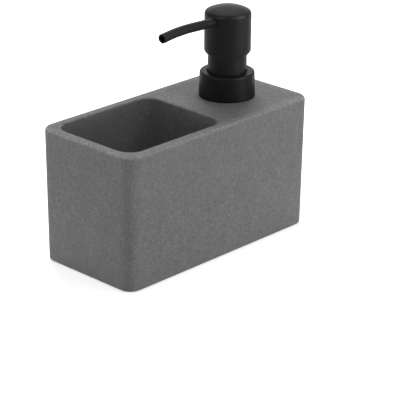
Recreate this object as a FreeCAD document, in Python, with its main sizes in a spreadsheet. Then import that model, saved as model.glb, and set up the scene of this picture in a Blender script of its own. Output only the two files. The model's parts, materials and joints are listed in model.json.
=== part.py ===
"""Soap pump caddy: a cast stone-resin block with an open pocket, a soap chamber and a lotion pump.

The origin is the middle of the block's footprint on the surface that it stands on.
+X runs along the block towards the pump, +Z is up, and lengths are in millimetres.
"""
import FreeCAD, Part
import math
import os
import re
import Sketcher

from FreeCAD import Vector

# Driving dimensions in millimetres, angles in degrees
SIZES = {
    # Cast block, measured at its top edge
    "body_length": 155.0,
    "body_width": 76.0,
    "body_height": 83.7,
    "body_corner_radius": 9.0,
    "draft_angle": 0.7,
    "top_edge_radius": 2.0,
    "base_edge_radius": 1.2,
    # Open pocket beside the pump
    "pocket_wall": 6.2,
    "pocket_pump_distance": 36.3,
    "pocket_corner_radius": 10.0,
    "pocket_floor_thickness": 8.0,
    "pocket_floor_radius": 5.0,
    "pocket_rim_radius": 1.2,
    # Soap chamber, and the plate glued in under it
    "divider_thickness": 6.0,
    "chamber_wall": 7.5,
    "chamber_corner_radius": 6.0,
    "deck_thickness": 8.0,
    "plate_thickness": 4.0,
    "plate_ledge": 2.0,
    "glue_gap": 0.1,
    # Stick-on feet
    "foot_height": 0.65,
    "foot_radius": 6.0,
    "foot_taper": 0.4,
    "foot_end_distance": 16.0,
    "foot_side_distance": 14.0,
    # Threaded neck, glued into the deck
    "pump_end_distance": 35.0,
    "neck_height": 9.5,
    "neck_radius": 12.6,
    "neck_wall": 1.7,
    "neck_spigot_step": 1.4,
    "neck_flange_lap": 1.6,
    "neck_flange_thickness": 2.0,
    # Screw thread of the neck and of the closure
    "thread_pitch": 4.233,
    "thread_depth": 1.0,
    "thread_base_share": 0.57,
    "thread_crest_share": 0.28,
    "thread_start_height": 2.0,
    "thread_end_margin": 1.0,
    "thread_clearance": 0.3,
    "thread_sink": 0.2,
    "closure_thread_share": 0.8,
    # Stack that the closure clamps on the neck
    "gasket_thickness": 1.0,
    "clamp_flange_gap": 0.6,
    "clamp_flange_lap": 0.98,
    "housing_flange_thickness": 1.5,
    "guide_flange_thickness": 1.2,
    # Closure: threaded core and smooth outer shell
    "closure_core_wall": 1.3,
    "closure_core_top": 1.2,
    "closure_core_gap": 0.6,
    "closure_gap": 0.2,
    "closure_fit": 0.05,
    "closure_top_thickness": 1.2,
    "closure_skirt_wall": 2.1,
    "closure_top_wall": 1.55,
    "closure_edge_radius": 1.2,
    "closure_rim_radius": 0.3,
    "closure_well_gap": 0.4,
    # Guide tower that the head slides down over
    "tower_wall": 1.5,
    "tower_overlap": 5.2,
    "tower_edge_radius": 0.5,
    "guide_plug_length": 8.0,
    "guide_boss_height": 2.2,
    "guide_boss_wall": 0.7,
    "seal_width": 2.0,
    "seal_thickness": 1.6,
    # Pump cylinder
    "cylinder_radius": 6.6,
    "cylinder_wall": 1.3,
    "plug_fit": 0.05,
    "vent_radius": 0.6,
    "vent_drop": 2.5,
    "foot_valve_wall": 1.9,
    "tube_socket_depth": 8.0,
    # Ball valves, one under the cylinder and one on the stem
    "ball_radius": 2.5,
    "ball_lift": 1.3,
    "ball_gap": 0.1,
    "ball_flow_gap": 0.7,
    "throat_radius": 1.6,
    "throat_length": 1.4,
    "cage_thickness": 1.2,
    "cage_hole_radius": 0.7,
    "cage_hole_margin": 0.1,
    # Dip tube
    "tube_radius": 3.0,
    "tube_wall": 0.8,
    "tube_floor_gap": 3.0,
    "tube_slant_height": 4.0,
    # Piston and stem
    "press_travel": 9.85,
    "press_gap": 0.5,
    "stop_gap": 0.3,
    "running_fit": 0.1,
    "piston_height": 6.0,
    "piston_lip_height": 1.2,
    "piston_waist_depth": 0.9,
    "piston_floor_gap": 2.0,
    "stem_rim": 0.8,
    "stem_foot_wall": 1.4,
    "stem_bead_step": 0.6,
    "stem_bead_height": 1.0,
    "stem_head_depth": 2.1,
    # Return spring, dry and above the soap
    "spring_gap": 0.4,
    "spring_wire_radius": 0.6,
    "spring_turns": 8.0,
    # Pump head: smooth cap, inner core and spout
    "head_wall": 2.11,
    "head_chamfer_height": 2.7,
    "head_chamfer_radius": 0.8,
    "head_lip_thickness": 0.15,
    "tower_clearance": 0.25,
    "head_top_thickness": 1.15,
    "head_dome_rise": 3.8,
    "head_edge_radius": 2.6,
    "core_height": 10.35,
    "core_disc_thickness": 2.0,
    "core_hub_radius": 8.5,
    "core_sleeve_length": 5.0,
    "core_sleeve_wall": 1.6,
    "core_fit": 0.05,
    "spout_level": 6.49,
    "spout_turn": 4.0,
    "spout_rise": 3.81,
    "spout_straight_reach": 19.04,
    "spout_bend": 10.15,
    "spout_bend_radius": 155.9,
    "spout_radius": 2.86,
    "spout_bore_radius": 2.15,
    "spout_root_distance": 4.6,
    "spout_tip_radius": 0.3,
    # Length by which every through cut passes the material
    "cut_overrun": 1.0,
}
CAGE_HOLE_COUNT = 6

# Places and sizes that follow from the driving dimensions.
# Pump levels are heights above the block's top face.
DERIVED = {
    "base_level": "foot_height",
    "top_level": "foot_height + body_height",
    "pocket_start": "pocket_wall - body_length / 2",
    "pocket_end": "pump_place - pocket_pump_distance",
    "pocket_half_width": "body_width / 2 - pocket_wall",
    "chamber_start": "pocket_end + divider_thickness",
    "chamber_end": "body_length / 2 - chamber_wall",
    "chamber_half_width": "body_width / 2 - chamber_wall",
    "pump_place": "body_length / 2 - pump_end_distance",
    "neck_bore_radius": "neck_radius - neck_wall",
    "neck_spigot_radius": "neck_radius + neck_spigot_step",
    "neck_flange_radius": "neck_spigot_radius + neck_flange_lap",
    "thread_base_width": "thread_base_share * thread_pitch",
    "thread_crest_width": "thread_crest_share * thread_pitch",
    "thread_rise": "neck_height - thread_start_height - thread_end_margin - thread_base_width / 2",
    "neck_thread_turns": "(thread_rise) / thread_pitch",
    "closure_thread_turns": "closure_thread_share * neck_thread_turns",
    "thread_root_radius": "neck_radius + thread_depth + thread_clearance",
    "thread_crest_radius": "neck_radius + thread_clearance",
    "clamp_flange_radius": "thread_root_radius - clamp_flange_gap",
    "closure_hole_radius": "clamp_flange_radius - clamp_flange_lap",
    "tower_radius": "closure_hole_radius - closure_well_gap",
    "housing_flange_level": "neck_height + gasket_thickness",
    "guide_flange_level": "housing_flange_level + housing_flange_thickness",
    "clamp_level": "guide_flange_level + guide_flange_thickness",
    "core_top_level": "clamp_level + closure_core_top",
    "closure_top_level": "core_top_level + closure_top_thickness",
    "closure_core_radius": "thread_root_radius + closure_core_wall",
    "closure_shell_bore_radius": "closure_core_radius + closure_fit",
    "closure_skirt_radius": "closure_shell_bore_radius + closure_skirt_wall",
    "closure_top_radius": "closure_shell_bore_radius + closure_top_wall",
    "head_level": "closure_top_level + press_travel + press_gap",
    "tower_level": "head_level + tower_overlap",
    "core_level": "tower_level + press_travel + press_gap",
    "ceiling_level": "core_level + core_height",
    "shoulder_level": "ceiling_level + head_top_thickness",
    "dome_level": "shoulder_level + head_dome_rise",
    "head_bore_radius": "tower_radius + tower_clearance",
    "head_radius": "head_bore_radius + head_wall",
    "spout_axis_level": "core_level + spout_level",
    "plug_level": "guide_flange_level - guide_plug_length",
    "piston_top_level": "plug_level - stop_gap",
    "piston_level": "piston_top_level - piston_height",
    "stem_level": "piston_level - stop_gap - stem_bead_height",
    "cage_level": "stem_level - press_travel - piston_floor_gap - cage_thickness",
    "ball_rise": "(ball_radius + ball_gap) * sqrt(2) - throat_radius",
    "seat_radius": "ball_radius + ball_flow_gap",
    "seat_depth": "seat_radius - throat_radius",
    "cage_hole_circle_radius": "seat_radius - cage_hole_radius - cage_hole_margin",
    "inlet_ball_level": "cage_level - ball_gap - ball_lift - ball_radius",
    "inlet_seat_level": "inlet_ball_level - ball_rise",
    "tube_top_level": "inlet_seat_level - throat_length",
    "socket_level": "tube_top_level - tube_socket_depth",
    "socket_radius": "seat_radius + foot_valve_wall",
    "tube_bore_radius": "tube_radius - tube_wall",
    "tube_level": "base_level + plate_thickness + tube_floor_gap - top_level",
    "stem_radius": "seat_radius + stem_rim",
    "stem_foot_radius": "throat_radius + stem_foot_wall",
    "stem_bead_radius": "stem_foot_radius + stem_bead_step",
    "seal_radius": "stem_radius + seal_width",
    "boss_radius": "seal_radius + guide_boss_wall",
    "stem_top_level": "core_level + stem_head_depth",
    "outlet_seat_level": "stem_top_level - seat_depth",
    "outlet_ball_level": "outlet_seat_level + ball_rise",
    "outlet_roof_level": "outlet_ball_level + ball_radius + ball_lift + ball_gap",
    "spring_radius": "boss_radius + spring_gap + spring_wire_radius",
    "spring_level": "clamp_level + spring_wire_radius",
    "spring_height": "core_level - clamp_level - 2 * spring_wire_radius",
    "spout_straight": "head_radius + spout_straight_reach - spout_root_distance",
}

doc = FreeCAD.newDocument("soap_pump_caddy")
sheet = doc.addObject("Spreadsheet::Sheet", "Sizes")
for row, (name, value) in enumerate(SIZES.items(), start=1):
    sheet.set(f"A{row}", name)
    sheet.set(f"B{row}", str(value))
    sheet.setAlias(f"B{row}", name)
doc.recompute()

# Edges are looked up by their place, to this accuracy
SAME_PLACE = 1e-4
QUARTER_TURN = math.pi / 2


def formula(text):
    """Write a formula of named sizes as an expression on the sheet."""
    def spelled(match):
        word = match.group()
        if word in SIZES:
            return f"Sizes.{word}"
        if word in DERIVED:
            return f"({formula(DERIVED[word])})"
        return word
    return re.sub(r"[A-Za-z_]\w*", spelled, text)


def number(text):
    """Value of a formula of named sizes."""
    return float(sheet.evalExpression(formula(text)))


def bind(target, prop, text):
    """Tie one property, such as a length, to a formula of named sizes."""
    target.setExpression(prop, formula(text))


def pump_frame(piece, turned_with_spout=False):
    """Stand a piece on the pump's axis, at the height of the block's top face."""
    bind(piece, "Placement.Base.x", "pump_place")
    bind(piece, "Placement.Base.z", "top_level")
    if turned_with_spout:
        bind(piece, "Placement.Rotation.Angle", "spout_turn")
    return piece


def new_body(name):
    body = doc.addObject("PartDesign::Body", name)
    body.Label = name
    return body


def new_sketch(body, name, role, level=None):
    """Sketch on one of the body's origin planes, raised to a level if one is given."""
    plane = next(item for item in body.Origin.OriginFeatures if item.Role == role)
    sketch = body.newObject("Sketcher::SketchObject", f"{body.Name}_{name}")
    sketch.AttachmentSupport = [(plane, "")]
    sketch.MapMode = "FlatFace"
    if level:
        bind(sketch, "AttachmentOffset.Base.z", level)
    return sketch


def pin(sketch, kind, geometry, point, text):
    """Dimension one point of a sketch from the sketch's origin."""
    index = sketch.addConstraint(Sketcher.Constraint(kind, -1, 1, geometry, point, number(text)))
    bind(sketch, f"Constraints[{index}]", text)


def pin_point(sketch, geometry, point, across, up):
    """Dimension a point both ways, or put it on an axis where its place is zero."""
    for kind, axis, text in (("DistanceX", -2, across), ("DistanceY", -1, up)):
        if text == "0":
            sketch.addConstraint(Sketcher.Constraint("PointOnObject", geometry, point, axis))
        else:
            pin(sketch, kind, geometry, point, text)


def draw_outline(sketch, points):
    """Closed outline through points, each (across, up).

    A point with a third word, dome, starts an arc that is centred on the axis and ends on it.
    """
    places = [Vector(number(point[0]), number(point[1]), 0) for point in points]
    count = len(points)
    for index, point in enumerate(points):
        start, end = places[index], places[(index + 1) % count]
        if len(point) > 2:
            rise = end.y - start.y
            ball = (start.x ** 2 + rise ** 2) / (2 * rise)
            middle = Vector(start.x / 2, end.y - ball + (ball ** 2 - start.x ** 2 / 4) ** 0.5, 0)
            sketch.addGeometry(Part.Arc(start, middle, end), False)
            sketch.addConstraint(Sketcher.Constraint("PointOnObject", index, 3, -2))
        else:
            sketch.addGeometry(Part.LineSegment(start, end), False)
    for index in range(count):
        follower = (index + 1) % count
        sketch.addConstraint(Sketcher.Constraint("Coincident", index, 2, follower, 1))
    for index, point in enumerate(points):
        pin_point(sketch, index, 1, point[0], point[1])


def draw_circle(sketch, across, up, radius):
    centre = Vector(number(across), number(up), 0)
    index = sketch.addGeometry(Part.Circle(centre, Vector(0, 0, 1), number(radius)), False)
    pin_point(sketch, index, 3, across, up)
    size = sketch.addConstraint(Sketcher.Constraint("Radius", index, number(radius)))
    bind(sketch, f"Constraints[{size}]", radius)


def draw_rounded_rectangle(sketch, left, right, half_width, radius):
    """Rectangle with four round corners, even about the X axis."""
    x0, x1 = number(left), number(right)
    reach, bend = number(half_width), number(radius)
    runs = [
        (Vector(x0 + bend, -reach, 0), Vector(x1 - bend, -reach, 0)),
        (Vector(x1, bend - reach, 0), Vector(x1, reach - bend, 0)),
        (Vector(x1 - bend, reach, 0), Vector(x0 + bend, reach, 0)),
        (Vector(x0, reach - bend, 0), Vector(x0, bend - reach, 0)),
    ]
    centres = [
        Vector(x1 - bend, bend - reach, 0),
        Vector(x1 - bend, reach - bend, 0),
        Vector(x0 + bend, reach - bend, 0),
        Vector(x0 + bend, bend - reach, 0),
    ]
    lines = [sketch.addGeometry(Part.LineSegment(*run), False) for run in runs]
    arcs = []
    for index, centre in enumerate(centres):
        circle = Part.Circle(centre, Vector(0, 0, 1), bend)
        start = (index - 1) * QUARTER_TURN
        arcs.append(sketch.addGeometry(Part.ArcOfCircle(circle, start, start + QUARTER_TURN), False))
    for index in range(4):
        sketch.addConstraint(Sketcher.Constraint("Tangent", lines[index], 2, arcs[index], 1))
        sketch.addConstraint(Sketcher.Constraint("Tangent", arcs[index], 2, lines[(index + 1) % 4], 1))
    for index, way in enumerate(("Horizontal", "Vertical", "Horizontal", "Vertical")):
        sketch.addConstraint(Sketcher.Constraint(way, lines[index]))
    for arc in arcs[1:]:
        sketch.addConstraint(Sketcher.Constraint("Equal", arcs[0], arc))
    size = sketch.addConstraint(Sketcher.Constraint("Radius", arcs[0], bend))
    bind(sketch, f"Constraints[{size}]", radius)
    pin(sketch, "DistanceY", lines[0], 1, f"-({half_width})")
    pin(sketch, "DistanceX", lines[1], 1, right)
    pin(sketch, "DistanceY", lines[2], 1, half_width)
    pin(sketch, "DistanceX", lines[3], 1, left)


def add_feature(body, kind, name, sketch, length, backwards=False, taper=None):
    """Pad or pocket of a sketch; the sketch's own direction is turned round by backwards."""
    feature = body.newObject(f"PartDesign::{kind}", f"{body.Name}_{name}")
    feature.Profile = sketch
    feature.Reversed = backwards
    bind(feature, "Length", length)
    if taper:
        bind(feature, "TaperAngle", taper)
    doc.recompute()
    return feature


def turn(body, points):
    """Solid of revolution about the body's Z axis."""
    sketch = new_sketch(body, "profile", "XZ_Plane")
    draw_outline(sketch, points)
    feature = body.newObject("PartDesign::Revolution", f"{body.Name}_turned")
    feature.Profile = sketch
    feature.ReferenceAxis = (sketch, ["V_Axis"])
    doc.recompute()
    return feature


def ring(body, inner, outer, low, high):
    """Plain ring of rectangular section."""
    return turn(body, [(inner, low), (outer, low), (outer, high), (inner, high)])


def ring_edges(feature, radius, level):
    """Names of the circular edges of that radius at that height."""
    names = []
    for index, edge in enumerate(feature.Shape.Edges, start=1):
        if edge.Degenerated or not isinstance(edge.Curve, Part.Circle):
            continue
        same_size = abs(edge.Curve.Radius - number(radius)) < SAME_PLACE
        if same_size and abs(edge.Curve.Center.z - number(level)) < SAME_PLACE:
            names.append(f"Edge{index}")
    return names


def rim_circles(feature, radius):
    """Place along X and name of each circular edge of that radius."""
    rims = []
    for index, edge in enumerate(feature.Shape.Edges, start=1):
        if edge.Degenerated or not isinstance(edge.Curve, Part.Circle):
            continue
        if abs(edge.Curve.Radius - number(radius)) < SAME_PLACE:
            rims.append((edge.Curve.Center.x, f"Edge{index}"))
    return rims


def flat_edges(feature, level, left=None, right=None):
    """Names of the edges that lie flat at that height, between two places along X if these are given."""
    names = []
    for index, edge in enumerate(feature.Shape.Edges, start=1):
        box = edge.BoundBox
        if max(abs(box.ZMin - number(level)), abs(box.ZMax - number(level))) > SAME_PLACE:
            continue
        if left and (box.XMin < number(left) - SAME_PLACE or box.XMax > number(right) + SAME_PLACE):
            continue
        names.append(f"Edge{index}")
    return names


def round_edges(body, name, base, edges, radius):
    feature = body.newObject("PartDesign::Fillet", f"{body.Name}_{name}")
    feature.Base = (base, edges)
    bind(feature, "Radius", radius)
    doc.recompute()
    return feature


def wind(body, name, sketch, pitch, turns):
    """Section wound round the body's axis as a helix."""
    feature = body.newObject("PartDesign::AdditiveHelix", f"{body.Name}_{name}")
    feature.Profile = sketch
    feature.ReferenceAxis = (sketch, ["V_Axis"])
    feature.Mode = "pitch-turns-angle"
    feature.Angle = 0
    bind(feature, "Pitch", pitch)
    bind(feature, "Turns", turns)
    doc.recompute()


def add_thread(body, root, crest, turns):
    """Ridge wound round the body's axis, from a profile given by the places of its root and crest."""
    sketch = new_sketch(body, "ridge", "XZ_Plane")
    draw_outline(sketch, [
        (root, "thread_start_height - thread_base_width / 2"),
        (crest, "thread_start_height - thread_crest_width / 2"),
        (crest, "thread_start_height + thread_crest_width / 2"),
        (root, "thread_start_height + thread_base_width / 2"),
    ])
    wind(body, "thread", sketch, "thread_pitch", turns)


def spout_sketch(body, name, distance):
    """Sketch square to the spout's straight root, at a distance from the pump's axis."""
    sketch = new_sketch(body, name, "YZ_Plane", f"-({distance}) * cos(spout_rise)")
    tilt = FreeCAD.Rotation(Vector(1, 0, 0), number("spout_rise"))
    sketch.AttachmentOffset = FreeCAD.Placement(Vector(), tilt)
    bind(sketch, "AttachmentOffset.Rotation.Angle", "spout_rise")
    bind(sketch, "AttachmentOffset.Base.y", f"spout_axis_level + ({distance}) * sin(spout_rise)")
    return sketch


# Cast block and what is glued to it

def make_caddy_body():
    body = new_body("caddy_body")
    outline = new_sketch(body, "outline", "XY_Plane", "top_level")
    end = "body_length / 2"
    draw_rounded_rectangle(outline, f"-{end}", end, "body_width / 2", "body_corner_radius")
    block = add_feature(body, "Pad", "block", outline, "body_height", backwards=True, taper="-draft_angle")
    block = round_edges(body, "base_edge", block, flat_edges(block, "base_level"), "base_edge_radius")
    block = round_edges(body, "top_edge", block, flat_edges(block, "top_level"), "top_edge_radius")

    mouth = new_sketch(body, "pocket_mouth", "XY_Plane", "top_level")
    draw_rounded_rectangle(mouth, "pocket_start", "pocket_end", "pocket_half_width", "pocket_corner_radius")
    depth = "body_height - pocket_floor_thickness"
    pocket = add_feature(body, "Pocket", "open_pocket", mouth, depth, taper="-draft_angle")
    floor = flat_edges(pocket, "base_level + pocket_floor_thickness")
    pocket = round_edges(body, "pocket_floor", pocket, floor, "pocket_floor_radius")
    rim = flat_edges(pocket, "top_level", "pocket_start", "pocket_end")
    pocket = round_edges(body, "pocket_rim", pocket, rim, "pocket_rim_radius")

    chamber = new_sketch(body, "chamber_outline", "XY_Plane", "base_level")
    draw_rounded_rectangle(
        chamber, "chamber_start", "chamber_end", "chamber_half_width", "chamber_corner_radius")
    add_feature(body, "Pocket", "soap_chamber", chamber, "body_height - deck_thickness", backwards=True)
    rebate = new_sketch(body, "rebate_outline", "XY_Plane", "base_level")
    draw_rounded_rectangle(
        rebate, "chamber_start - plate_ledge", "chamber_end + plate_ledge",
        "chamber_half_width + plate_ledge", "chamber_corner_radius + plate_ledge")
    add_feature(body, "Pocket", "plate_rebate", rebate, "plate_thickness", backwards=True)

    bore = new_sketch(body, "neck_bore", "XY_Plane", "top_level")
    draw_circle(bore, "pump_place", "0", "neck_spigot_radius + glue_gap")
    add_feature(body, "Pocket", "neck_hole", bore, "deck_thickness + cut_overrun")
    sink = new_sketch(body, "neck_sink", "XY_Plane", "top_level")
    draw_circle(sink, "pump_place", "0", "neck_flange_radius + glue_gap")
    add_feature(body, "Pocket", "neck_counterbore", sink, "neck_flange_thickness")
    return body


def make_base_plate():
    body = new_body("base_plate")
    outline = new_sketch(body, "outline", "XY_Plane", "base_level")
    edge = "plate_ledge - glue_gap"
    draw_rounded_rectangle(
        outline, f"chamber_start - ({edge})", f"chamber_end + {edge}",
        f"chamber_half_width + {edge}", f"chamber_corner_radius + {edge}")
    add_feature(body, "Pad", "plate", outline, "plate_thickness")
    return body


def make_foot(name, along, across):
    """Tapered stick-on disc; along and across are the signs of its corner."""
    foot = doc.addObject("Part::Cone", name)
    foot.Label = name
    bind(foot, "Radius1", "foot_radius - foot_taper")
    bind(foot, "Radius2", "foot_radius")
    bind(foot, "Height", "foot_height")
    bind(foot, "Placement.Base.x", f"{along} * (body_length / 2 - foot_end_distance)")
    bind(foot, "Placement.Base.y", f"{across} * (body_width / 2 - foot_side_distance)")
    return foot


def make_neck_insert():
    body = pump_frame(new_body("neck_insert"))
    turn(body, [
        ("neck_bore_radius", "-deck_thickness"),
        ("neck_spigot_radius", "-deck_thickness"),
        ("neck_spigot_radius", "-neck_flange_thickness"),
        ("neck_flange_radius", "-neck_flange_thickness"),
        ("neck_flange_radius", "0"),
        ("neck_radius", "0"),
        ("neck_radius", "neck_height"),
        ("neck_bore_radius", "neck_height"),
    ])
    add_thread(body, "neck_radius - thread_sink", "neck_radius + thread_depth", "neck_thread_turns")
    return body


# Closure

def make_closure_core():
    body = pump_frame(new_body("closure_core"))
    turn(body, [
        ("thread_root_radius", "closure_core_gap"),
        ("closure_core_radius", "closure_core_gap"),
        ("closure_core_radius", "core_top_level"),
        ("closure_hole_radius", "core_top_level"),
        ("closure_hole_radius", "clamp_level"),
        ("thread_root_radius", "clamp_level"),
    ])
    add_thread(body, "-thread_root_radius - thread_sink", "-thread_crest_radius", "closure_thread_turns")
    return body


def make_closure_shell():
    body = pump_frame(new_body("closure_shell"))
    shell = turn(body, [
        ("closure_shell_bore_radius", "closure_gap"),
        ("closure_skirt_radius", "closure_gap"),
        ("closure_top_radius", "closure_top_level"),
        ("closure_hole_radius", "closure_top_level"),
        ("closure_hole_radius", "core_top_level"),
        ("closure_shell_bore_radius", "core_top_level"),
    ])
    edge = ring_edges(shell, "closure_top_radius", "closure_top_level")
    shell = round_edges(body, "top_edge", shell, edge, "closure_edge_radius")
    rim = ring_edges(shell, "closure_hole_radius", "closure_top_level")
    round_edges(body, "well_rim", shell, rim, "closure_rim_radius")
    return body


# Parts that the closure clamps on the neck

def make_neck_gasket():
    body = pump_frame(new_body("neck_gasket"))
    ring(body, "neck_bore_radius", "clamp_flange_radius", "neck_height", "housing_flange_level")
    return body


def make_guide_tower():
    body = pump_frame(new_body("guide_tower"))
    boss_level = "clamp_level + guide_boss_height"
    stem_hole = "stem_radius + running_fit"
    plug_radius = "cylinder_radius - plug_fit"
    tower = turn(body, [
        (stem_hole, "plug_level"),
        (plug_radius, "plug_level"),
        (plug_radius, "guide_flange_level"),
        ("clamp_flange_radius", "guide_flange_level"),
        ("clamp_flange_radius", "clamp_level"),
        ("tower_radius", "clamp_level"),
        ("tower_radius", "tower_level"),
        ("tower_radius - tower_wall", "tower_level"),
        ("tower_radius - tower_wall", "clamp_level"),
        ("boss_radius", "clamp_level"),
        ("boss_radius", boss_level),
        ("seal_radius", boss_level),
        ("seal_radius", f"{boss_level} - seal_thickness"),
        (stem_hole, f"{boss_level} - seal_thickness"),
    ])
    edge = ring_edges(tower, "tower_radius", "tower_level")
    round_edges(body, "top_edge", tower, edge, "tower_edge_radius")
    return body


def make_stem_seal():
    body = pump_frame(new_body("stem_seal"))
    top = "clamp_level + guide_boss_height"
    ring(body, "stem_radius + running_fit", "seal_radius", f"{top} - seal_thickness", top)
    return body


def make_pump_housing():
    body = pump_frame(new_body("pump_housing"))
    outer = "cylinder_radius + cylinder_wall"
    turn(body, [
        ("clamp_flange_radius", "guide_flange_level"),
        ("clamp_flange_radius", "housing_flange_level"),
        (outer, "housing_flange_level"),
        (outer, "cage_level - cylinder_wall"),
        ("socket_radius", "inlet_seat_level"),
        ("socket_radius", "socket_level"),
        ("tube_radius", "socket_level"),
        ("tube_radius", "tube_top_level"),
        ("throat_radius", "tube_top_level"),
        ("throat_radius", "inlet_seat_level"),
        ("seat_radius", "inlet_seat_level + seat_depth"),
        ("seat_radius", "cage_level"),
        ("cylinder_radius", "cage_level"),
        ("cylinder_radius", "guide_flange_level"),
    ])
    vent = new_sketch(body, "vent_outline", "XZ_Plane")
    draw_circle(vent, "0", "plug_level - vent_drop", "vent_radius")
    add_feature(body, "Pocket", "vent", vent, f"{outer} + cut_overrun")
    return body


def make_ball_cage():
    body = pump_frame(new_body("ball_cage"))
    outline = new_sketch(body, "outline", "XY_Plane", "cage_level")
    draw_circle(outline, "0", "0", "cylinder_radius - plug_fit")
    add_feature(body, "Pad", "disc", outline, "cage_thickness")
    hole = new_sketch(body, "hole", "XY_Plane", "cage_level + cage_thickness + cut_overrun")
    draw_circle(hole, "cage_hole_circle_radius", "0", "cage_hole_radius")
    drilled = add_feature(body, "Pocket", "flow_hole", hole, "cage_thickness + 2 * cut_overrun")
    holes = body.newObject("PartDesign::PolarPattern", f"{body.Name}_flow_holes")
    holes.Originals = [drilled]
    holes.Axis = (hole, ["N_Axis"])
    holes.Occurrences = CAGE_HOLE_COUNT
    body.Tip = holes
    return body


def make_dip_tube():
    body = pump_frame(new_body("dip_tube"))
    ring(body, "tube_bore_radius", "tube_radius", "tube_level", "tube_top_level")
    slant = new_sketch(body, "slant", "XZ_Plane")
    draw_outline(slant, [
        ("-tube_radius", "tube_level"),
        ("tube_radius + cut_overrun", "tube_level - cut_overrun"),
        ("tube_radius + cut_overrun", "tube_level + tube_slant_height"),
    ])
    cut = add_feature(body, "Pocket", "slanted_end", slant, "2 * tube_radius + 2 * cut_overrun")
    cut.SideType = "Symmetric"
    return body


def make_return_spring():
    """Coil about the stem, from the guide's flange up to the head's core."""
    body = pump_frame(new_body("return_spring"))
    wire = new_sketch(body, "wire", "XZ_Plane")
    draw_circle(wire, "spring_radius", "spring_level", "spring_wire_radius")
    wind(body, "coil", wire, "(spring_height) / spring_turns", "spring_turns")
    return body


def make_ball(name, level):
    ball = doc.addObject("Part::Sphere", name)
    ball.Label = name
    bind(ball, "Radius", "ball_radius")
    bind(ball, "Placement.Base.x", "pump_place")
    bind(ball, "Placement.Base.z", f"top_level + {level}")
    return ball


# Piston, stem and head

def make_piston():
    body = pump_frame(new_body("piston"))
    hole = "stem_foot_radius + running_fit"
    lip = "cylinder_radius - running_fit"
    waist = f"{lip} - piston_waist_depth"
    turn(body, [
        (hole, "piston_level"),
        (lip, "piston_level"),
        (lip, "piston_level + piston_lip_height"),
        (waist, "piston_level + piston_lip_height"),
        (waist, "piston_top_level - piston_lip_height"),
        (lip, "piston_top_level - piston_lip_height"),
        (lip, "piston_top_level"),
        (hole, "piston_top_level"),
    ])
    return body


def make_stem():
    body = pump_frame(new_body("stem"))
    bead_level = "stem_level + stem_bead_height"
    turn(body, [
        ("throat_radius", "stem_level"),
        ("stem_bead_radius", "stem_level"),
        ("stem_bead_radius", bead_level),
        ("stem_foot_radius", bead_level),
        ("stem_foot_radius", "piston_top_level"),
        ("stem_radius", "piston_top_level"),
        ("stem_radius", "stem_top_level"),
        ("seat_radius", "stem_top_level"),
        ("throat_radius", "outlet_seat_level"),
    ])
    return body


def make_head_shell():
    body = pump_frame(new_body("head_shell"), turned_with_spout=True)
    chamfer_level = "head_level + head_chamfer_height"
    shell = turn(body, [
        ("head_bore_radius", "head_level"),
        ("head_bore_radius + head_lip_thickness", "head_level"),
        ("head_radius", chamfer_level),
        ("head_radius", "shoulder_level", "dome"),
        ("0", "dome_level"),
        ("0", "ceiling_level"),
        ("head_bore_radius", "ceiling_level"),
    ])
    edge = ring_edges(shell, "head_radius", "shoulder_level")
    shell = round_edges(body, "top_edge", shell, edge, "head_edge_radius")
    edge = ring_edges(shell, "head_radius", chamfer_level)
    round_edges(body, "chamfer_edge", shell, edge, "head_chamfer_radius")
    hole = spout_sketch(body, "spout_hole", "0")
    draw_circle(hole, "0", "0", "spout_radius + core_fit")
    add_feature(body, "Pocket", "spout_cut", hole, "head_radius + cut_overrun")
    return body


def make_head_core():
    body = pump_frame(new_body("head_core"), turned_with_spout=True)
    rim = "head_bore_radius - core_fit"
    sleeve = "stem_radius + core_sleeve_wall"
    turn(body, [
        ("stem_radius", "core_level - core_sleeve_length"),
        (sleeve, "core_level - core_sleeve_length"),
        (sleeve, "core_level"),
        (rim, "core_level"),
        (rim, "core_level + core_disc_thickness"),
        ("core_hub_radius", "core_level + core_disc_thickness"),
        ("core_hub_radius", "ceiling_level"),
        ("0", "ceiling_level"),
        ("0", "outlet_roof_level"),
        ("seat_radius", "outlet_roof_level"),
        ("seat_radius", "stem_top_level"),
        ("stem_radius", "stem_top_level"),
    ])
    channel = spout_sketch(body, "channel_outline", "0")
    draw_circle(channel, "0", "0", "spout_bore_radius")
    add_feature(body, "Pocket", "channel", channel, "core_hub_radius + cut_overrun")
    socket = spout_sketch(body, "socket_outline", "spout_root_distance")
    draw_circle(socket, "0", "0", "spout_radius")
    add_feature(body, "Pocket", "spout_socket", socket, "head_radius")
    return body


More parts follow.
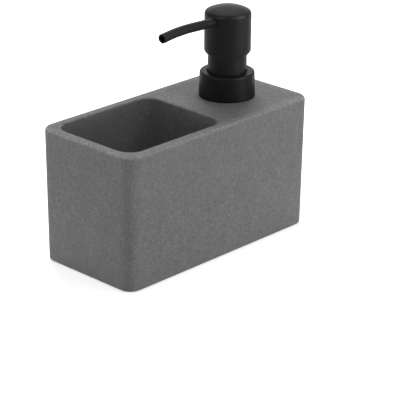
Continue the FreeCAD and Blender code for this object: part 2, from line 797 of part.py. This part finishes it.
def make_spout_tube():
    """Tube with a straight run from the core to well outside the head, and a gently drooping end."""
    body = pump_frame(new_body("spout_tube"), turned_with_spout=True)
    path = new_sketch(body, "path", "XZ_Plane")
    tilt = FreeCAD.Rotation(Vector(0, 0, 1), -number("spout_rise"))
    path.AttachmentOffset = FreeCAD.Placement(Vector(), tilt)
    bind(path, "AttachmentOffset.Rotation.Angle", "-spout_rise")
    bind(path, "AttachmentOffset.Base.x", "-spout_root_distance * cos(spout_rise)")
    bind(path, "AttachmentOffset.Base.y", "spout_axis_level + spout_root_distance * sin(spout_rise)")

    def bent_place(angle):
        run = number(f"spout_straight + spout_bend_radius * sin({angle})")
        drop = number(f"spout_bend_radius * (1 - cos({angle}))")
        return Vector(-run, -drop, 0)

    start, middle, tip = (bent_place(angle) for angle in ("0", "spout_bend / 2", "spout_bend"))
    path.addGeometry(Part.LineSegment(Vector(), start), False)
    path.addGeometry(Part.Arc(start, middle, tip), False)
    path.addConstraint(Sketcher.Constraint("Coincident", 0, 1, -1, 1))
    pin_point(path, 0, 2, "-spout_straight", "0")
    path.addConstraint(Sketcher.Constraint("Coincident", 0, 2, 1, 1))
    pin_point(path, 1, 3, "-spout_straight", "-spout_bend_radius")
    pin(path, "DistanceX", 1, 2, "-spout_straight - spout_bend_radius * sin(spout_bend)")

    section = spout_sketch(body, "section", "spout_root_distance")
    draw_circle(section, "0", "0", "spout_radius")
    draw_circle(section, "0", "0", "spout_bore_radius")
    tube = body.newObject("PartDesign::AdditivePipe", "spout_tube_swept")
    tube.Profile = section
    tube.Spine = path
    doc.recompute()
    rims = rim_circles(tube, "spout_radius")
    round_edges(body, "tip_edge", tube, [min(rims)[1]], "spout_tip_radius")
    return body


PIECES = [
    make_caddy_body(),
    make_base_plate(),
    make_foot("foot_front_left", -1, -1),
    make_foot("foot_front_right", 1, -1),
    make_foot("foot_rear_left", -1, 1),
    make_foot("foot_rear_right", 1, 1),
    make_neck_insert(),
    make_closure_core(),
    make_closure_shell(),
    make_neck_gasket(),
    make_guide_tower(),
    make_stem_seal(),
    make_pump_housing(),
    make_ball_cage(),
    make_dip_tube(),
    make_return_spring(),
    make_ball("inlet_ball", "inlet_ball_level"),
    make_ball("outlet_ball", "outlet_ball_level"),
    make_piston(),
    make_stem(),
    make_head_shell(),
    make_head_core(),
    make_spout_tube(),
]
doc.recompute()

for item in doc.Objects:
    if "Invalid" in item.State or "Error" in item.State:
        raise RuntimeError(f"{item.Label} failed: {item.State}")
for piece in PIECES:
    if piece.Shape.isNull() or not piece.Shape.isValid() or len(piece.Shape.Solids) != 1:
        raise RuntimeError(f"{piece.Label} is not one sound solid")

os.makedirs("parts", exist_ok=True)
for piece in PIECES:
    piece.Shape.exportStep(f"parts/{piece.Label}.step")
    print(f"{piece.Label}: {piece.Shape.Volume:.1f} mm3")
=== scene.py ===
"""Looks of the soap pump caddy: materials, floor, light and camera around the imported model.

Lengths are in metres, in the frame of the model: +X along the block towards the pump, +Z up.
Inside the materials they are in millimetres.
"""

import json
import math

import bpy
from mathutils import Matrix, Vector


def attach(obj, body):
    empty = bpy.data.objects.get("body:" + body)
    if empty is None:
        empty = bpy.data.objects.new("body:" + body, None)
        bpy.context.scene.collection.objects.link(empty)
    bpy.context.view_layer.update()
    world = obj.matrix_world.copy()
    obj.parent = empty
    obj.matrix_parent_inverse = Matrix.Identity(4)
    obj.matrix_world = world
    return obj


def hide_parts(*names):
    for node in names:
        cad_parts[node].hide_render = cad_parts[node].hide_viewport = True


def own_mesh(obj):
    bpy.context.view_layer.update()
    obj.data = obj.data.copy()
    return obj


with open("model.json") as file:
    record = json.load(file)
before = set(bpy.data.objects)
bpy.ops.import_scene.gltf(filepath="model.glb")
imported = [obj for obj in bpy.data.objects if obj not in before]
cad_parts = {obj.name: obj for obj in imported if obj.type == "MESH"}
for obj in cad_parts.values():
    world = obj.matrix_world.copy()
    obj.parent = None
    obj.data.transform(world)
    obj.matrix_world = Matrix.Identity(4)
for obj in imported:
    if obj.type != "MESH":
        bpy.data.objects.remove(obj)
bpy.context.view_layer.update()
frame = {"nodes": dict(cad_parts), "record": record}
nodes = frame["nodes"]
scene = bpy.context.scene

MM = 0.001


class Shader:
    """One node material, built up call by call."""

    # Share of a grain's radius that is fully inside, and softness of the choice of cells with grains
    GRAIN_CORE = 0.45
    PICK_SOFTNESS = 0.06

    def __init__(self, name):
        self.material = bpy.data.materials.new(name)
        self.material.use_nodes = True
        self.tree = self.material.node_tree
        self.tree.nodes.clear()
        self.output = self.tree.nodes.new("ShaderNodeOutputMaterial")

    def node(self, kind, settings=None, **sockets):
        """A node with its settings, and its sockets set to values or linked to other nodes' outputs."""
        made = self.tree.nodes.new(f"ShaderNode{kind}")
        for key, value in (settings or {}).items():
            setattr(made, key, value)
        for key, value in sockets.items():
            self.put(made, key, value)
        return made

    def put(self, made, key, value):
        """Set or link one input, named with _ for each space, or numbered as in0."""
        if key.startswith("in") and key[2:].isdigit():
            socket = made.inputs[int(key[2:])]
        else:
            socket = made.inputs[key.replace("_", " ")]
        if isinstance(value, bpy.types.NodeSocket):
            self.tree.links.new(value, socket)
        else:
            socket.default_value = value

    def place(self):
        """Coordinates in the model's frame, in millimetres."""
        where = self.node("TexCoord").outputs["Object"]
        return self.node("VectorMath", {"operation": "SCALE"}, in0=where, Scale=1 / MM).outputs[0]

    def noise(self, at, size, detail=3.0, roughness=0.5, distortion=0.0):
        """Noise whose features are about that many millimetres across, 0 to 1."""
        made = self.node("TexNoise", Vector=at, Scale=1 / size, Detail=detail, Roughness=roughness,
                         Distortion=distortion)
        return made.outputs["Fac"]

    def grains(self, at, shift, size, share, reach):
        """Scattered round grains, 1 inside and 0 outside.

        They lie in cells of that size, and only in cells whose random number is above the share.
        The reach is a grain's radius in cells, and the shift sets one scatter apart from another.
        """
        moved = self.node("VectorMath", {"operation": "ADD"}, in0=at, in1=shift).outputs[0]
        cells = self.node("TexVoronoi", Vector=moved, Scale=1 / size).outputs
        picked = self.ramp(self.split(cells["Color"])[0], share, share + self.PICK_SOFTNESS)
        inside = self.ramp(cells["Distance"], self.GRAIN_CORE * reach, reach, 1.0, 0.0)
        return self.math("MULTIPLY", picked, inside)

    def split(self, vector):
        return self.node("SeparateXYZ", Vector=vector).outputs

    def math(self, operation, a, b=0.0):
        return self.node("Math", {"operation": operation}, in0=a, in1=b).outputs[0]

    def ramp(self, value, low, high, bottom=0.0, top=1.0):
        """Smooth step of a value from low to high, given out as bottom to top."""
        made = self.node("MapRange", {"interpolation_type": "SMOOTHSTEP"}, in0=value, in1=low, in2=high,
                         in3=bottom, in4=top)
        return made.outputs[0]

    def spread(self, value, bottom, top):
        """A 0 to 1 value stretched evenly from bottom to top."""
        return self.node("MapRange", in0=value, in1=0.0, in2=1.0, in3=bottom, in4=top).outputs[0]

    def mix(self, share, a, b, blend="MIX"):
        """Colours a and b mixed by a share."""
        made = self.node("MixRGB", {"blend_type": blend}, Fac=share, Color1=a, Color2=b)
        return made.outputs["Color"]

    def shade(self, colour, value, bottom, top):
        """A colour multiplied by a 0 to 1 value that is stretched from bottom to top."""
        factor = self.spread(value, bottom, top)
        grey = self.node("CombineXYZ", X=factor, Y=factor, Z=factor).outputs[0]
        return self.mix(1.0, colour, grey, "MULTIPLY")

    def cover(self, colour, mask, share, other):
        """A colour covered by another one, by that share where the mask is 1."""
        return self.mix(self.math("MULTIPLY", mask, share), colour, other)

    def bump(self, height, depth, normal=None):
        """Normals bent by a 0 to 1 height that stands for that many millimetres."""
        made = self.node("Bump", Strength=1.0, Distance=depth * MM, Height=height)
        if normal:
            self.put(made, "Normal", normal)
        return made.outputs["Normal"]

    def surface(self, **sockets):
        shader = self.node("BsdfPrincipled", **sockets)
        self.tree.links.new(shader.outputs[0], self.output.inputs["Surface"])
        return self.material


def rgb(level, warmth=0.0):
    """Grey of a linear level, a little warm above zero and cool below."""
    return (level * (1 + warmth), level, level * (1 - warmth), 1.0)


# The block's top face above the floor, and its half length and half width
BLOCK_TOP = 84.35
BLOCK_HALF_LENGTH = 77.5
BLOCK_HALF_WIDTH = 38.0

# Its outer faces are a little paler low down, in place of light that the lamps don't give: the heights
# between which this fades, the distances from the outline, below zero inside, and the factor
PALE_LOW, PALE_HIGH = 4.0, 52.0
PALE_INNER, PALE_OUTER = -5.0, -3.0
PALE_FACTOR = 1.09

# Paler top face near the outline, partly wear and partly painted highlight: its depths, its distances from
# the outline, and its strength
WEAR_HIGHLIGHT_DEEP, WEAR_HIGHLIGHT_SHALLOW = 2.6, 0.8
WEAR_HIGHLIGHT_INNER, WEAR_HIGHLIGHT_OUTER = -8.0, -2.0
WEAR_HIGHLIGHT_ON_TOP = 0.50
# Paler rounded edges, partly wear and partly painted highlight: the upward share of their normals where it
# starts, is full and ends, and its strength, which is greatest at the end away from the pump
ROUND_STEEP, ROUND_STEEP_FULL, ROUND_FLAT_FULL, ROUND_FLAT = 0.15, 0.60, 0.90, 0.999
WEAR_HIGHLIGHT_END, WEAR_HIGHLIGHT_END_LIMIT = -76.0, -72.0
WEAR_HIGHLIGHT_AT_END, WEAR_HIGHLIGHT_ELSEWHERE = 1.2, 0.62
# All of this wear and painted highlight: its patches and finer spots, and the share of the pale colour at a
# strength of 1
PATCH_FAINT, PATCH_STRONG = 0.5, 1.1
SPOT_LOW, SPOT_HIGH = 0.36, 0.64
SPOT_FAINT, SPOT_STRONG = 0.55, 1.42
WEAR_HIGHLIGHT_SHARE = 0.6

# Shares of the grain and of a finer noise in the stone's relief, and the depths of relief and pin holes
RELIEF_GRAIN, RELIEF_FINE = 0.6, 0.4
RELIEF_DEPTH = 0.10
HOLE_DEPTH = 0.25


def cast_stone():
    """Matt resin cast with stone dust: mottled grey, light and dark grains, pin holes painted dark with
    their shade, edges paler from wear and painted highlight.
    """
    s = Shader("cast_stone")
    at = s.place()
    cloud = s.noise(at, size=14.0, detail=4.0, roughness=0.6)
    tone = s.mix(cloud, rgb(0.176, warmth=-0.035), rgb(0.208, warmth=0.035))
    mottle = s.noise(at, size=2.6, detail=2.0, roughness=0.6)
    tone = s.shade(tone, mottle, bottom=0.76, top=1.24)
    grain = s.noise(at, size=0.9, detail=1.5, roughness=0.5)
    tone = s.shade(tone, grain, bottom=0.68, top=1.32)

    light = s.grains(at, shift=(0.0, 0.0, 0.0), size=1.6, share=0.74, reach=0.42)
    tone = s.cover(tone, light, share=0.36, other=rgb(0.32))
    dark = s.grains(at, shift=(3.1, 7.7, 5.3), size=1.4, share=0.76, reach=0.40)
    tone = s.cover(tone, dark, share=0.44, other=rgb(0.075))
    # Pin holes: dented by the bump further down, and painted dark as the shade inside them
    hole = s.grains(at, shift=(9.4, 2.2, 1.9), size=3.4, share=0.80, reach=0.11)
    tone = s.cover(tone, hole, share=0.55, other=rgb(0.06))

    # Painted light: the outer faces are a little paler low down, in place of light that the lamps don't
    # give
    x, y, z = s.split(at)
    past_end = s.math("SUBTRACT", s.math("ABSOLUTE", x), BLOCK_HALF_LENGTH)
    past_side = s.math("SUBTRACT", s.math("ABSOLUTE", y), BLOCK_HALF_WIDTH)
    outward = s.math("MAXIMUM", past_end, past_side)
    low_down = s.ramp(z, PALE_LOW, PALE_HIGH, 1.0, 0.0)
    pale = s.math("MULTIPLY", low_down, s.ramp(outward, PALE_INNER, PALE_OUTER))
    tone = s.shade(tone, pale, bottom=1.0, top=PALE_FACTOR)

    # The top is paler towards the outer edges, most on their rounding: partly wear, partly painted
    # highlight
    near_top = s.ramp(z, BLOCK_TOP - WEAR_HIGHLIGHT_DEEP, BLOCK_TOP - WEAR_HIGHLIGHT_SHALLOW)
    wear_and_highlight = s.math("MULTIPLY", s.ramp(outward, WEAR_HIGHLIGHT_INNER, WEAR_HIGHLIGHT_OUTER, 0.0, WEAR_HIGHLIGHT_ON_TOP), near_top)
    flatness = s.math("ABSOLUTE", s.split(s.node("NewGeometry").outputs["True Normal"])[2])
    not_steep = s.ramp(flatness, ROUND_STEEP, ROUND_STEEP_FULL)
    not_flat = s.ramp(flatness, ROUND_FLAT_FULL, ROUND_FLAT, 1.0, 0.0)
    rounding = s.math("MULTIPLY", s.math("MULTIPLY", not_steep, not_flat), near_top)
    by_end = s.ramp(x, WEAR_HIGHLIGHT_END, WEAR_HIGHLIGHT_END_LIMIT, WEAR_HIGHLIGHT_AT_END, WEAR_HIGHLIGHT_ELSEWHERE)
    wear_and_highlight = s.math("ADD", wear_and_highlight, s.math("MULTIPLY", rounding, by_end))
    patches = s.noise(at, size=5.0, detail=4.0)
    wear_and_highlight = s.math("MULTIPLY", wear_and_highlight, s.spread(patches, PATCH_FAINT, PATCH_STRONG))
    spots = s.noise(at, size=2.1, detail=2.0, roughness=0.6)
    wear_and_highlight = s.math("MULTIPLY", wear_and_highlight, s.ramp(spots, SPOT_LOW, SPOT_HIGH, SPOT_FAINT, SPOT_STRONG))
    bare_and_highlight = s.shade(rgb(0.37), grain, bottom=0.66, top=1.34)
    tone = s.cover(tone, wear_and_highlight, share=WEAR_HIGHLIGHT_SHARE, other=bare_and_highlight)

    fine = s.noise(at, size=0.22, detail=2.0)
    height = s.math("ADD", s.math("MULTIPLY", grain, RELIEF_GRAIN), s.math("MULTIPLY", fine, RELIEF_FINE))
    normal = s.bump(height, RELIEF_DEPTH)
    normal = s.bump(s.math("SUBTRACT", 1.0, hole), HOLE_DEPTH, normal)
    roughness = s.spread(grain, bottom=0.74, top=0.96)
    return s.surface(Base_Color=tone, Roughness=roughness, Normal=normal, Specular_IOR_Level=0.05)


# The head's chamfered lower edge is paler than the rest of it, in place of light that the lamps don't give:
# up to which height it is full, where it ends, and its factor
CHAMFER_PALE_TO, CHAMFER_PALE_LIMIT = 112.6, 113.3
CHAMFER_PALE_FACTOR = 2.1


def black_plastic(name, deep, pale, shine, pale_chamfer=False):
    """Satin black moulding: fine spark-eroded texture and faint handling smears in its gloss."""
    s = Shader(name)
    at = s.place()
    cloud = s.noise(at, size=9.0, detail=4.0, roughness=0.55)
    speck = s.noise(at, size=0.16, detail=2.0, roughness=0.6)
    tone = s.mix(cloud, deep, pale)
    tone = s.shade(tone, speck, bottom=0.75, top=1.25)
    if pale_chamfer:
        # Painted light: below a set height the chamfered lower edge is made paler, in place of light from
        # below
        below = s.ramp(s.split(at)[2], CHAMFER_PALE_TO, CHAMFER_PALE_LIMIT, 1.0, 0.0)
        tone = s.shade(tone, below, bottom=1.0, top=CHAMFER_PALE_FACTOR)
    smears = s.spread(cloud, bottom=0.36, top=0.46)
    roughness = s.math("ADD", smears, s.spread(speck, bottom=-0.03, top=0.03))
    normal = s.bump(speck, depth=0.012)
    return s.surface(Base_Color=tone, Roughness=roughness, Normal=normal, Specular_IOR_Level=shine)


def black_paint():
    """Satin black paint on drawn tube: a soft orange-peel skin."""
    s = Shader("black_paint")
    at = s.place()
    peel = s.noise(at, size=0.6, detail=2.0, roughness=0.45)
    cloud = s.noise(at, size=6.0, detail=3.0)
    tone = s.mix(cloud, rgb(0.0118), rgb(0.0146))
    roughness = s.spread(cloud, bottom=0.34, top=0.44)
    normal = s.bump(peel, depth=0.012)
    return s.surface(Base_Color=tone, Roughness=roughness, Normal=normal, Specular_IOR_Level=0.04)


def moulded(name, pale, deep, smooth, rough, translucence=0.0):
    """Plain natural plastic, as the pump's inner mouldings are: slight flow clouds and a fine skin."""
    s = Shader(name)
    at = s.place()
    flow = s.noise(at, size=7.0, detail=3.0, distortion=0.8)
    skin = s.noise(at, size=0.25, detail=2.0)
    tone = s.mix(flow, deep, pale)
    roughness = s.spread(flow, smooth, rough)
    normal = s.bump(skin, depth=0.01)
    return s.surface(Base_Color=tone, Roughness=roughness, Normal=normal, Transmission_Weight=translucence)


def rubber(name, pale, deep):
    """Matt rubber: dusty clouds and a fine pebbled skin."""
    s = Shader(name)
    at = s.place()
    dust = s.noise(at, size=3.0, detail=5.0, roughness=0.65)
    pebble = s.noise(at, size=0.3, detail=2.0)
    tone = s.mix(dust, deep, pale)
    roughness = s.spread(dust, bottom=0.72, top=0.92)
    return s.surface(Base_Color=tone, Roughness=roughness, Normal=s.bump(pebble, depth=0.03))


def steel(name, smooth, rough, streak):
    """Bare stainless steel: fine drawing or polishing marks."""
    s = Shader(name)
    at = s.place()
    long_way = s.node("VectorMath", {"operation": "MULTIPLY"}, in0=at, in1=(1.0, 1.0, streak)).outputs[0]
    marks = s.noise(long_way, size=0.12, detail=3.0, roughness=0.7)
    tone = s.mix(marks, rgb(0.52, warmth=-0.01), rgb(0.64, warmth=0.01))
    roughness = s.spread(marks, smooth, rough)
    return s.surface(Base_Color=tone, Roughness=roughness, Normal=s.bump(marks, depth=0.004), Metallic=1.0)


# Finishes by slot, and those of single pieces. The closure gets a darker copy of the head and tower's
# black, as painted shade
HEAD_BLACK = {"deep": rgb(0.0126), "pale": rgb(0.0152), "shine": 0.048}
SHADED_CLOSURE_BLACK = {"deep": rgb(0.0085), "pale": rgb(0.0105), "shine": 0.040}
finishes = {
    "cast_stone": cast_stone(),
    "foot_rubber": rubber("foot_rubber", pale=rgb(0.035), deep=rgb(0.016)),
    "black_plastic": black_plastic("black_plastic", **HEAD_BLACK),
    "black_painted_steel": black_paint(),
    "white_plastic": moulded("white_plastic", pale=rgb(0.80, warmth=0.015), deep=rgb(0.70, warmth=0.02),
                             smooth=0.36, rough=0.48),
    "clear_plastic": moulded("clear_plastic", pale=rgb(0.82, warmth=-0.005), deep=rgb(0.72, warmth=-0.01),
                             smooth=0.28, rough=0.40, translucence=0.5),
    "seal_rubber": rubber("seal_rubber", pale=rgb(0.58, warmth=0.02), deep=rgb(0.46, warmth=0.025)),
    "spring_steel": steel("spring_steel", smooth=0.25, rough=0.39, streak=0.25),
    "ball_steel": steel("ball_steel", smooth=0.09, rough=0.23, streak=1.0),
}
own_finishes = {
    "closure_shell": black_plastic("closure_shaded_black", **SHADED_CLOSURE_BLACK),
    "head_shell": black_plastic("head_black", **HEAD_BLACK, pale_chamfer=True),
}
for part in frame["record"]["subparts"]:
    dressed = nodes[part["node"]]
    finish = own_finishes.get(part["node"], finishes[part["material_slot"]])
    dressed.data.materials.clear()
    dressed.data.materials.append(finish)
    dressed.data.polygons.foreach_set("use_smooth", [True] * len(dressed.data.polygons))

# A piece of the same shape stands for the return spring, on the pump unit's body
coil = bpy.data.objects.new("return_spring_coil", nodes["return_spring"].data.copy())
scene.collection.objects.link(coil)
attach(coil, "pump_unit")
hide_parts("return_spring")
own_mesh(coil)

# Camera at the photograph's place: its angles, its place, focal length and image in pixels, sensor in
# millimetres, and the distances between which it sees
AZIMUTH, ELEVATION, ROLL = (math.radians(angle) for angle in (-46.45, 22.45, 0.57))
CAMERA_PLACE = Vector((-0.75300, -0.73453, 0.46135))
FOCAL_PIXELS = 1868.7
IMAGE_PIXELS = 400
SENSOR = 36.0
NEAREST, FURTHEST = 0.05, 50.0


def direction(azimuth, elevation):
    """Unit vector from the object towards that side, by angles in radians."""
    return Vector((math.sin(azimuth) * math.cos(elevation), -math.cos(azimuth) * math.cos(elevation),
                   math.sin(elevation)))


backward = direction(AZIMUTH, ELEVATION)
level_right = (-backward).cross(Vector((0, 0, 1))).normalized()
level_up = level_right.cross(-backward)
right = level_right * math.cos(ROLL) + level_up * math.sin(ROLL)
up = level_up * math.cos(ROLL) - level_right * math.sin(ROLL)
camera_data = bpy.data.cameras.new("camera")
camera_data.sensor_width = SENSOR
camera_data.lens = FOCAL_PIXELS / IMAGE_PIXELS * SENSOR
camera_data.clip_start = NEAREST
camera_data.clip_end = FURTHEST
camera = bpy.data.objects.new("camera", camera_data)
camera.matrix_world = Matrix.Translation(CAMERA_PLACE) @ Matrix((right, up, backward)).transposed().to_4x4()
scene.collection.objects.link(camera)
scene.camera = camera


def seen_directly(tree):
    """1 for rays that see the background itself, also in a reflection, and 0 for light on the object."""
    path = tree.nodes.new("ShaderNodeLightPath")
    total = path.outputs["Is Camera Ray"]
    for name in ("Is Glossy Ray", "Is Transmission Ray"):
        joined = tree.nodes.new("ShaderNodeMath")
        joined.operation = "MAXIMUM"
        tree.links.new(total, joined.inputs[0])
        tree.links.new(path.outputs[name], joined.inputs[1])
        total = joined.outputs[0]
    return total


# World: white where it is seen, and softer as light
AMBIENT = 0.32
WHITE = rgb(1.0)
world = bpy.data.worlds.new("studio")
world.use_nodes = True
scene.world = world
sky = world.node_tree
sky.nodes.clear()
seen_white = sky.nodes.new("ShaderNodeBackground")
soft_light = sky.nodes.new("ShaderNodeBackground")
soft_light.inputs["Strength"].default_value = AMBIENT
for background in (seen_white, soft_light):
    background.inputs["Color"].default_value = WHITE
choice = sky.nodes.new("ShaderNodeMixShader")
sky_output = sky.nodes.new("ShaderNodeOutputWorld")
sky.links.new(seen_directly(sky), choice.inputs[0])
sky.links.new(soft_light.outputs[0], choice.inputs[1])
sky.links.new(seen_white.outputs[0], choice.inputs[2])
sky.links.new(choice.outputs[0], sky_output.inputs["Surface"])

# Floor: white, with the object's shadow
FLOOR_HALF = 6.0
FLOOR_PALE = rgb(0.88)
FLOOR_GLOW = 0.68
floor_mesh = bpy.data.meshes.new("floor")
corners = [(-FLOOR_HALF, -FLOOR_HALF, 0), (FLOOR_HALF, -FLOOR_HALF, 0), (FLOOR_HALF, FLOOR_HALF, 0),
           (-FLOOR_HALF, FLOOR_HALF, 0)]
floor_mesh.from_pydata(corners, [], [(0, 1, 2, 3)])
floor = bpy.data.objects.new("floor", floor_mesh)
scene.collection.objects.link(floor)
paint = Shader("floor_white")
matt = paint.node("BsdfDiffuse", Color=FLOOR_PALE)
glow_where_seen = paint.math("MULTIPLY", seen_directly(paint.tree), FLOOR_GLOW)
glow = paint.node("Emission", Color=WHITE, Strength=glow_where_seen)
both = paint.node("AddShader", in0=matt.outputs[0], in1=glow.outputs[0])
paint.tree.links.new(both.outputs[0], paint.output.inputs["Surface"])
floor_mesh.materials.append(paint.material)

# The lamps look at this point, inside the block
LAMP_TARGET = Vector((0, 0, 0.06))


def softbox(name, azimuth, elevation, distance, size, power, lights=True, gleams=True):
    """Square lamp that looks at the object from that side, by angles in degrees.

    A lamp that only lights doesn't show in the object's gloss, and one that only gleams shows in nothing
    else.
    """
    towards = direction(math.radians(azimuth), math.radians(elevation))
    lamp = bpy.data.lights.new(name, "AREA")
    lamp.shape = "SQUARE"
    lamp.size = size
    lamp.energy = power
    holder = bpy.data.objects.new(name, lamp)
    holder.location = LAMP_TARGET + towards * distance
    holder.rotation_mode = "QUATERNION"
    holder.rotation_quaternion = (-towards).to_track_quat("-Z", "Y")
    holder.visible_diffuse = lights
    holder.visible_glossy = gleams
    scene.collection.objects.link(holder)


# Lamps that light the object: azimuth and elevation in degrees, distance and size in metres, power in watts
LIGHTS = {
    "key_behind": (133.0, 38.0, 1.6, 1.1, 24.0),
    "card_right": (28.0, 1.0, 0.85, 0.20, 1.98),
    "card_high": (18.0, 45.0, 1.0, 0.4, 1.15),
    "card_left": (-132.0, 1.0, 0.8, 0.2, 1.72),
    "card_corner": (-58.0, 0.0, 0.6, 0.2, 0.20),
}
# Lamps that only show as soft highlights in its gloss, given in the same way
GLEAMS = {
    "gleam_right": (20.0, 30.0, 1.0, 0.8, 30.0),
    "gleam_right_low": (20.0, 2.0, 1.0, 0.5, 12.0),
    "gleam_left": (-84.0, 30.0, 1.0, 0.6, 13.0),
    "gleam_far_left": (-130.0, 4.0, 1.0, 0.5, 1.8),
    "gleam_above": (133.0, 62.0, 1.2, 0.8, 9.0),
    "gleam_behind": (133.0, 16.0, 1.2, 0.6, 1.45),
}
for lamp_name, setting in LIGHTS.items():
    softbox(lamp_name, *setting, gleams=False)
for lamp_name, setting in GLEAMS.items():
    softbox(lamp_name, *setting, lights=False)

scene.view_settings.view_transform = "Standard"
